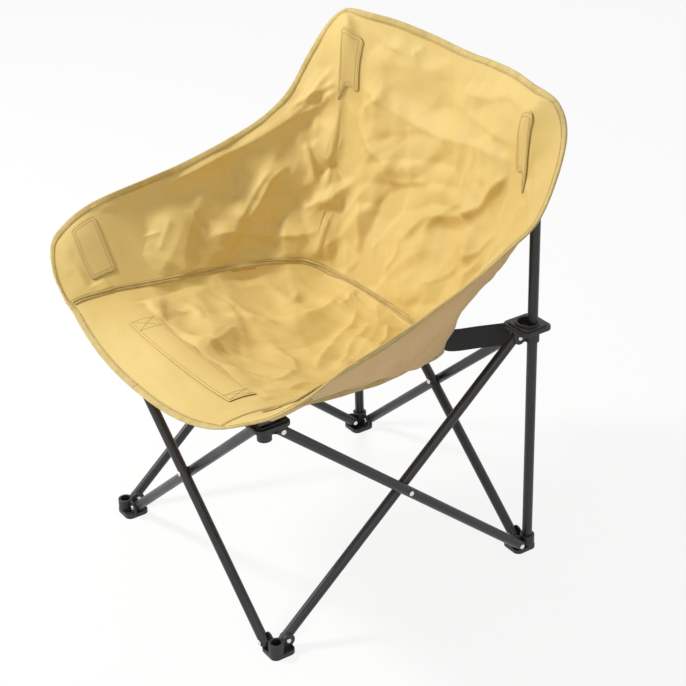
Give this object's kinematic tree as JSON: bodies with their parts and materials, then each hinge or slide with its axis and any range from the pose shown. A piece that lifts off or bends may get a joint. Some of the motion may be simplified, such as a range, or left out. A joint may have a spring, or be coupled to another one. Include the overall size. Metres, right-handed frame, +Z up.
{
  "type": "moon chair",
  "caption": "Folding moon chair: a wide golden yellow cloth bucket seat hung on a square scissor frame of black steel tubes with black corner mouldings.",
  "frame": {"origin": "on the floor, under the middle of the whole chair, which is 10.3 mm in front of the middle of the four feet", "axes": "the chair faces -Y, +X is to the right as seen from the front, +Z up"},
  "size_m": [0.7132, 0.6192, 0.7799],
  "materials": {
    "tube_paint": "satin black powder coat",
    "black_plastic": "moulded black nylon, fine grain",
    "rivet_steel": "bright zinc plated",
    "cloth": "golden yellow coated polyester weave, slight sheen inside, matter and pinker outside",
    "binding": "golden yellow tape with stitching",
    "webbing": "black woven webbing"
  },
  "bodies": {
    "back_left_base": {"foot_back_left": "black_plastic", "foot_rivets_back_left": "rivet_steel", "post_left": "tube_paint", "post_cap_left": "black_plastic", "right_side_panel": "cloth", "left_side_panel": "cloth", "back_panel": "cloth", "rim_binding": "binding", "seam_binding": "binding", "seat_panel": "cloth", "front_strip": "binding", "front_patches": "cloth", "back_patches": "cloth", "front_pockets": "cloth", "back_pockets": "cloth", "back_strap": "webbing"},
    "back_outer_leg": {"back_outer_tube": "tube_paint", "back_outer_plugs": "black_plastic", "back_crossing_rivet": "rivet_steel", "back_crossing_spacer": "black_plastic"},
    "back_inner_leg": {"back_inner_tube": "tube_paint", "back_inner_plugs": "black_plastic"},
    "back_right_base": {"foot_back_right": "black_plastic", "foot_rivets_back_right": "rivet_steel", "post_right": "tube_paint", "post_cap_right": "black_plastic"},
    "right_slider": {"slider_back_right": "black_plastic", "hub_rivets_back_right": "rivet_steel"},
    "left_slider": {"slider_back_left": "black_plastic", "hub_rivets_back_left": "rivet_steel"},
    "left_inner_leg": {"left_inner_tube": "tube_paint", "left_inner_plugs": "black_plastic"},
    "left_outer_leg": {"left_outer_tube": "tube_paint", "left_outer_plugs": "black_plastic", "left_crossing_rivet": "rivet_steel", "left_crossing_spacer": "black_plastic"},
    "front_left_base": {"foot_front_left": "black_plastic", "foot_rivets_front_left": "rivet_steel"},
    "front_left_hub": {"hub_front_left": "black_plastic", "hub_rivets_front_left": "rivet_steel", "arm_left": "black_plastic"},
    "right_outer_leg": {"right_outer_tube": "tube_paint", "right_outer_plugs": "black_plastic", "right_crossing_rivet": "rivet_steel", "right_crossing_spacer": "black_plastic"},
    "right_inner_leg": {"right_inner_tube": "tube_paint", "right_inner_plugs": "black_plastic"},
    "front_right_base": {"foot_front_right": "black_plastic", "foot_rivets_front_right": "rivet_steel"},
    "front_right_hub": {"hub_front_right": "black_plastic", "hub_rivets_front_right": "rivet_steel", "arm_right": "black_plastic"},
    "front_outer_leg": {"front_outer_tube": "tube_paint", "front_outer_plugs": "black_plastic", "front_crossing_rivet": "rivet_steel", "front_crossing_spacer": "black_plastic"},
    "front_inner_leg": {"front_inner_tube": "tube_paint", "front_inner_plugs": "black_plastic"}
  },
  "joints": [
    {"name": "fold", "type": "hinge", "parent": "back_left_base", "child": "back_outer_leg", "pos_m": [-0.2175, 0.25776, 0.017], "axis": [0, -1, 0], "range_deg": [0, 44], "deforming": ["right_side_panel", "left_side_panel", "back_panel", "rim_binding", "seam_binding", "seat_panel", "front_strip", "front_patches", "back_patches", "front_pockets", "back_pockets", "back_strap"]},
    {"name": "back_crossing", "type": "hinge", "parent": "back_outer_leg", "child": "back_inner_leg", "pos_m": [0, 0.24826, 0.2045], "axis": [0, -1, 0], "range_deg": [-88, 0]},
    {"name": "back_right_foot_pivot", "type": "hinge", "parent": "back_inner_leg", "child": "back_right_base", "pos_m": [0.2175, 0.23876, 0.017], "axis": [0, -1, 0], "range_deg": [0, 44]},
    {"name": "right_slider_pivot", "type": "hinge", "parent": "back_outer_leg", "child": "right_slider", "pos_m": [0.2175, 0.25776, 0.392], "axis": [0, -1, 0], "range_deg": [-44, 0]},
    {"name": "left_slider_pivot", "type": "hinge", "parent": "back_inner_leg", "child": "left_slider", "pos_m": [-0.2175, 0.23876, 0.392], "axis": [0, -1, 0], "range_deg": [0, 44]},
    {"name": "left_foot_pivot", "type": "hinge", "parent": "back_left_base", "child": "left_inner_leg", "pos_m": [-0.2285, 0.22776, 0.017], "axis": [-1, 0, 0], "range_deg": [0, 44]},
    {"name": "left_crossing", "type": "hinge", "parent": "left_inner_leg", "child": "left_outer_leg", "pos_m": [-0.238, 0.01026, 0.2045], "axis": [-1, 0, 0], "range_deg": [-88, 0]},
    {"name": "front_left_foot_pivot", "type": "hinge", "parent": "left_outer_leg", "child": "front_left_base", "pos_m": [-0.2475, -0.20724, 0.017], "axis": [-1, 0, 0], "range_deg": [0, 44]},
    {"name": "front_left_hub_pivot", "type": "hinge", "parent": "left_inner_leg", "child": "front_left_hub", "pos_m": [-0.2285, -0.20724, 0.392], "axis": [-1, 0, 0], "range_deg": [-44, 0]},
    {"name": "right_foot_pivot", "type": "hinge", "parent": "back_right_base", "child": "right_outer_leg", "pos_m": [0.2475, 0.22776, 0.017], "axis": [-1, 0, 0], "range_deg": [0, 44]},
    {"name": "right_crossing", "type": "hinge", "parent": "right_outer_leg", "child": "right_inner_leg", "pos_m": [0.238, 0.01026, 0.2045], "axis": [-1, 0, 0], "range_deg": [-88, 0]},
    {"name": "front_right_foot_pivot", "type": "hinge", "parent": "right_inner_leg", "child": "front_right_base", "pos_m": [0.2285, -0.20724, 0.017], "axis": [-1, 0, 0], "range_deg": [0, 44]},
    {"name": "front_right_hub_pivot", "type": "hinge", "parent": "right_outer_leg", "child": "front_right_hub", "pos_m": [0.2475, -0.20724, 0.392], "axis": [-1, 0, 0], "range_deg": [-44, 0]},
    {"name": "front_foot_pivot", "type": "hinge", "parent": "front_right_base", "child": "front_outer_leg", "pos_m": [0.2175, -0.23724, 0.017], "axis": [0, 1, 0], "range_deg": [0, 44]},
    {"name": "front_crossing", "type": "hinge", "parent": "front_outer_leg", "child": "front_inner_leg", "pos_m": [0, -0.22774, 0.2045], "axis": [0, 1, 0], "range_deg": [-88, 0]}
  ],
  "couplings": [
    {"joint": "back_crossing", "follows": "fold", "ratio": -2},
    {"joint": "back_right_foot_pivot", "follows": "fold", "ratio": 1},
    {"joint": "right_slider_pivot", "follows": "fold", "ratio": -1},
    {"joint": "left_slider_pivot", "follows": "fold", "ratio": 1},
    {"joint": "left_foot_pivot", "follows": "fold", "ratio": 1},
    {"joint": "left_crossing", "follows": "fold", "ratio": -2},
    {"joint": "front_left_foot_pivot", "follows": "fold", "ratio": 1},
    {"joint": "front_left_hub_pivot", "follows": "fold", "ratio": -1},
    {"joint": "right_foot_pivot", "follows": "fold", "ratio": 1},
    {"joint": "right_crossing", "follows": "fold", "ratio": -2},
    {"joint": "front_right_foot_pivot", "follows": "fold", "ratio": 1},
    {"joint": "front_right_hub_pivot", "follows": "fold", "ratio": -1},
    {"joint": "front_foot_pivot", "follows": "fold", "ratio": 1},
    {"joint": "front_crossing", "follows": "fold", "ratio": -2}
  ]
}
